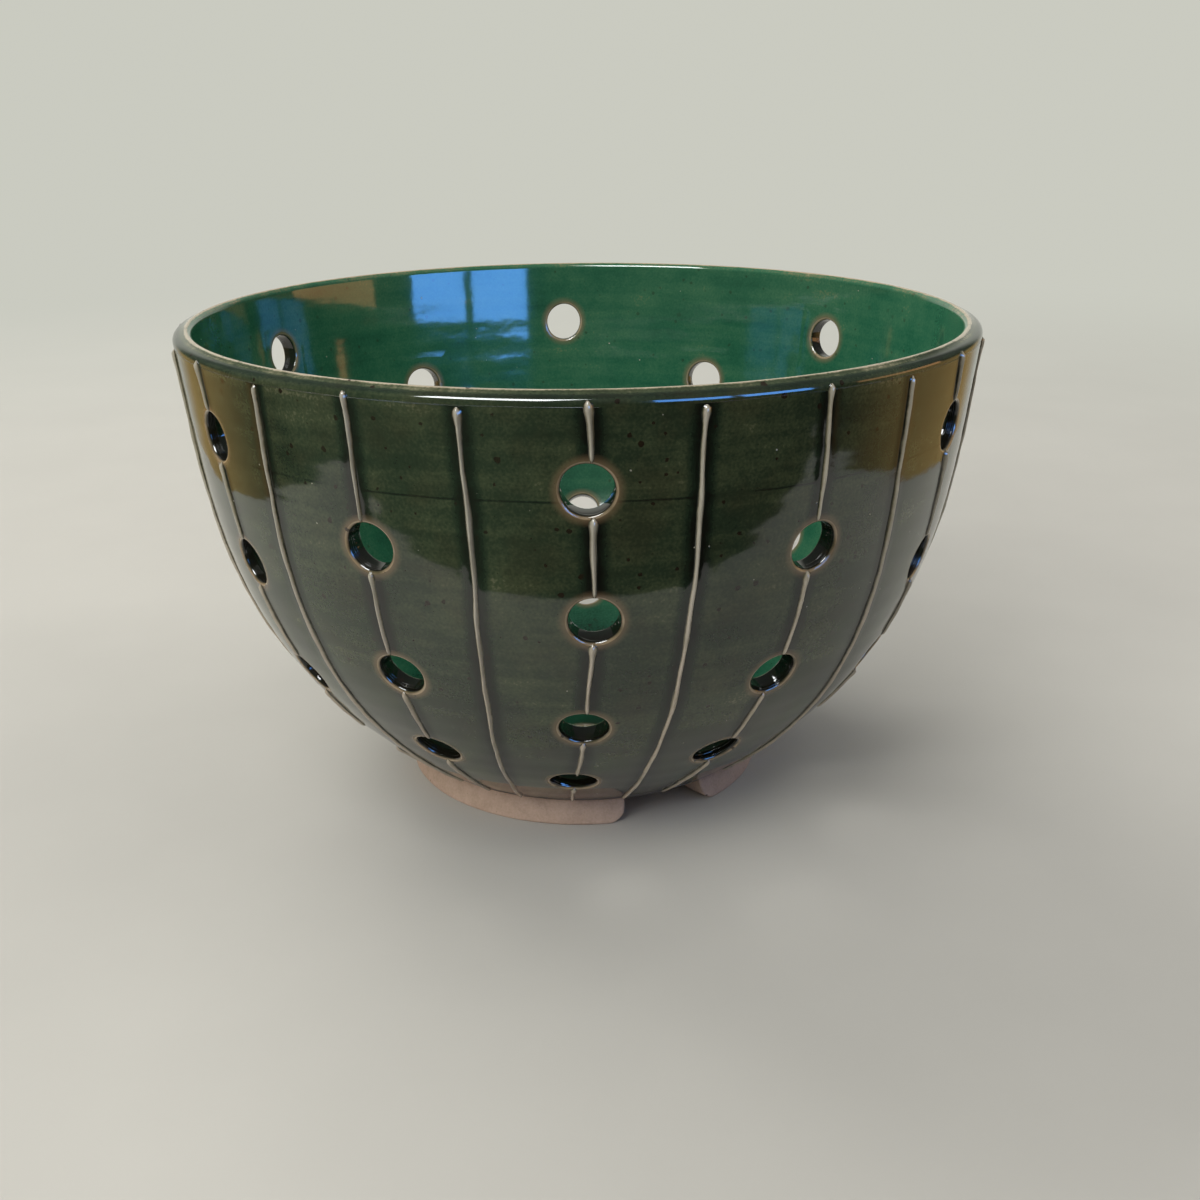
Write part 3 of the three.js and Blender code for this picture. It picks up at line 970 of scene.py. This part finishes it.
def makeSlipFinish():
    material, shader, start = newMaterial("slip_under_thin_glaze")
    crest = start.attribute("crest")
    patch = start.noise(2.4, 3)
    grain = start.noise(0.6, 2)
    bareness = crest + (patch - 0.5) * 0.3 + (grain - 0.5) * 0.12
    height = start.node("ShaderNodeSeparateXYZ", {}, {0: start.place()}, "Z")
    colour = bareness.colours(slipFinish["stops"])
    low = height.ramp(*slipFinish["lowReach"]) * crest.ramp(0.3, 0.6) * 0.55
    colour = low.mix(colour, slipFinish["low"])
    colour = ((start.noise(7, 2) - 0.45).ramp(0, 0.25) * 0.4).mix(colour, slipFinish["stain"])
    plug(shader, "Base Color", colour)
    plug(shader, "Roughness", slipFinish["roughness"] + (patch - 0.5) * 0.08 + crest * 0.1)
    plug(shader, "Normal", start.bump(slipFinish["bumpStrength"], slipFinish["bumpDepth"], start.noise(0.9, 3)))
    shader.inputs["IOR"].default_value = glaze["ior"]
    return material


# bare clay of the feet
clayFinish = dict(
    stops=((0, (0.42, 0.30, 0.21)), (0.5, (0.55, 0.40, 0.30)), (1, (0.66, 0.50, 0.39))),
    speck=(0.05, 0.03, 0.018, 1),
    specks=(1.5, 0.3, 0.25),
    freckles=(0.7, 0.1, 0.3),
    roughness=0.82,
    bumpStrength=0.5,
    bumpDepth=0.15,
)


def makeClay():
    material, shader, start = newMaterial("bare_speckled_clay")
    mottle = 0.55 * start.noise(3, 4) + 0.45 * start.noise(0.5, 3)
    colour = ((mottle - 0.5) * 1.8 + 0.5).colours(clayFinish["stops"])
    colour = (start.specks(*clayFinish["specks"]) * 0.85).mix(colour, clayFinish["speck"])
    colour = (start.specks(*clayFinish["freckles"]) * 0.6).mix(colour, clayFinish["speck"])
    plug(shader, "Base Color", colour)
    plug(shader, "Roughness", clayFinish["roughness"] + (mottle - 0.5) * 0.2)
    tooth = start.noise(0.4, 4) + 0.7 * start.noise(2.5, 2, (0.2, 0.2, 1))
    plug(shader, "Normal", start.bump(clayFinish["bumpStrength"], clayFinish["bumpDepth"], tooth))
    return material


dress([bowlBody], makeGlaze())
dress(slipLines, makeSlipFinish())
dress(feet, makeClay())
print("materials done")


# pale floor and soft lamps: the glaze mirrors the floor only within these edges, and a dim room beyond them
stage = dict(
    radius=2400,
    sides=128,
    frontEdge=-138,
    sideEdges=(-222, 235),
    edgeBlur=2,
    aimHeight=40,  # where the lamps point, on the axis of the bowl
    floor=(0.62, 0.61, 0.555, 1),
    sky=(0.59, 0.595, 0.53, 1),
    fadeFrom=170,
    fadeTo=800,
    roomLow=(0.06, 0.05, 0.04, 1),
    roomHigh=(0.14, 0.14, 0.14, 1),
    dimLow=(0.03, 0.03, 0.022, 1),
    dimHigh=(0.12, 0.125, 0.12, 1),
    dimLeft=(0.11, 0.15, 0.09, 1),
    boards=(0.55, 0.36, 0.13, 1),
    # name, place, size, power, colour, whether it lights the bowl, whether the glaze mirrors it
    lamps=(
        ("key", (-750, -850, 750), (800, 800), 6.6, (1, 0.97, 0.94), True, False),
        ("front", (-450, -850, 1200), (1000, 1000), 6.3, (1, 0.98, 0.95), True, False),
        ("overhead", (-100, 150, 1300), (1000, 1000), 1.8, (1, 0.99, 0.97), True, False),
        ("back", (-700, 900, 900), (1000, 1000), 13, (1, 0.98, 0.95), True, False),
        ("right", (900, 100, 900), (1000, 1000), 3.6, (1, 0.98, 0.95), True, False),
        ("pane", (-330, -560, 1000), (620, 480), 18, (0.95, 0.98, 1), False, True),
        ("windowLeft", (777, -629, 250), (350, 380), 4.2, (0.11, 0.37, 1), False, True),
        ("windowRight", (477, -879, 260), (350, 380), 4.2, (0.11, 0.37, 1), False, True),
        ("wood", (1000, 50, 180), (620, 240), 0.8, (1, 0.5, 0.2), False, True),
    ),
)


def makeStage():
    turns = np.arange(stage["sides"]) * 2 * math.pi / stage["sides"]
    mesh = bpy.data.meshes.new("floor")
    mesh.from_pydata((turned(stage["radius"], 0, turns) * mm).tolist(), [], [list(range(stage["sides"]))])
    floor = bpy.data.objects.new("floor", mesh)
    bpy.context.scene.collection.objects.link(floor)
    material, shader, start = newMaterial("pale_floor")
    shade = 0.94 + (start.noise(60, 3) - 0.5) * 0.12
    plug(shader, "Base Color", shade.mix((0, 0, 0, 1), stage["floor"]))
    shader.inputs["Roughness"].default_value = 0.9
    # far off, the floor fades into the backdrop
    away = start.node("ShaderNodeVectorMath", {"operation": "LENGTH"}, {0: start.place()}, 1)
    cameraRay = start.ray("Is Camera Ray")
    seen = cameraRay + start.ray("Is Glossy Ray") + start.ray("Is Transmission Ray")
    far = away.ramp(stage["fadeFrom"], stage["fadeTo"]) * seen
    glow = start.node("ShaderNodeEmission", {}, {"Color": stage["sky"]})
    faded = start.node("ShaderNodeMixShader", {}, {0: far, 1: Wire(start.tree, shader.outputs[0]), 2: glow})
    aside, ahead = (start.node("ShaderNodeSeparateXYZ", {}, {0: start.place()}, axis) for axis in "XY")
    left, right = stage["sideEdges"]
    blur = stage["edgeBlur"]
    sides = aside.ramp(left + blur, left - blur) + aside.ramp(right - blur, right + blur)
    front = ahead.ramp(stage["frontEdge"] + blur, stage["frontEdge"] - blur)
    gone = start.math("MINIMUM", front * (1 - cameraRay) + sides * start.ray("Is Glossy Ray"), 1)
    clear = start.node("ShaderNodeBsdfTransparent", {}, {})
    floorLook = start.node("ShaderNodeMixShader", {}, {0: gone, 1: faded, 2: clear})
    plug(material.node_tree.nodes["Material Output"], "Surface", floorLook)
    dress([floor], material)
    for name, place, size, power, colour, lights, mirrored in stage["lamps"]:
        lamp = bpy.data.lights.new(name, "AREA")
        lamp.shape = "RECTANGLE"
        lamp.size, lamp.size_y = size[0] * mm, size[1] * mm
        lamp.energy, lamp.color = power, colour
        holder = bpy.data.objects.new(name, lamp)
        holder.location = Vector(place) * mm
        holder.visible_diffuse, holder.visible_glossy = lights, mirrored
        toBowl = Vector((0, 0, stage["aimHeight"] * mm)) - holder.location
        holder.rotation_euler = toBowl.to_track_quat("-Z", "Y").to_euler()
        bpy.context.scene.collection.objects.link(holder)
    world = bpy.data.worlds.new("room")
    world.use_nodes = True
    bpy.context.scene.world = world
    start = Wire(world.node_tree)
    sight = start.node("ShaderNodeTexCoord", {}, {}, "Generated")
    aside, back, up = (start.node("ShaderNodeSeparateXYZ", {}, {0: sight}, axis) for axis in "XYZ")
    room = up.ramp(-0.05, 0.75).mix(stage["roomLow"], stage["roomHigh"])
    # the glaze mirrors the backdrop behind the bowl, and round it a dim room with brown boards
    mirrored = start.ray("Is Glossy Ray")
    dim = up.ramp(-0.1, 0.5).mix(stage["dimLow"], stage["dimHigh"])
    dim = (aside.ramp(0.05, -0.4) * back.ramp(0.1, -0.2)).mix(dim, stage["dimLeft"])
    dim = ((back + aside.ramp(0.5, 1) * 0.3).ramp(0, 0.6) * up.ramp(0.1, -0.1)).mix(dim, stage["boards"])
    room = mirrored.mix(room, dim)
    seen = start.ray("Is Camera Ray") + start.ray("Is Transmission Ray") + mirrored * back.ramp(0.72, 0.88)
    plug(world.node_tree.nodes["Background"], "Color", seen.mix(room, stage["sky"]))
    bpy.context.scene.view_settings.view_transform = "Standard"


makeStage()
print("stage done")
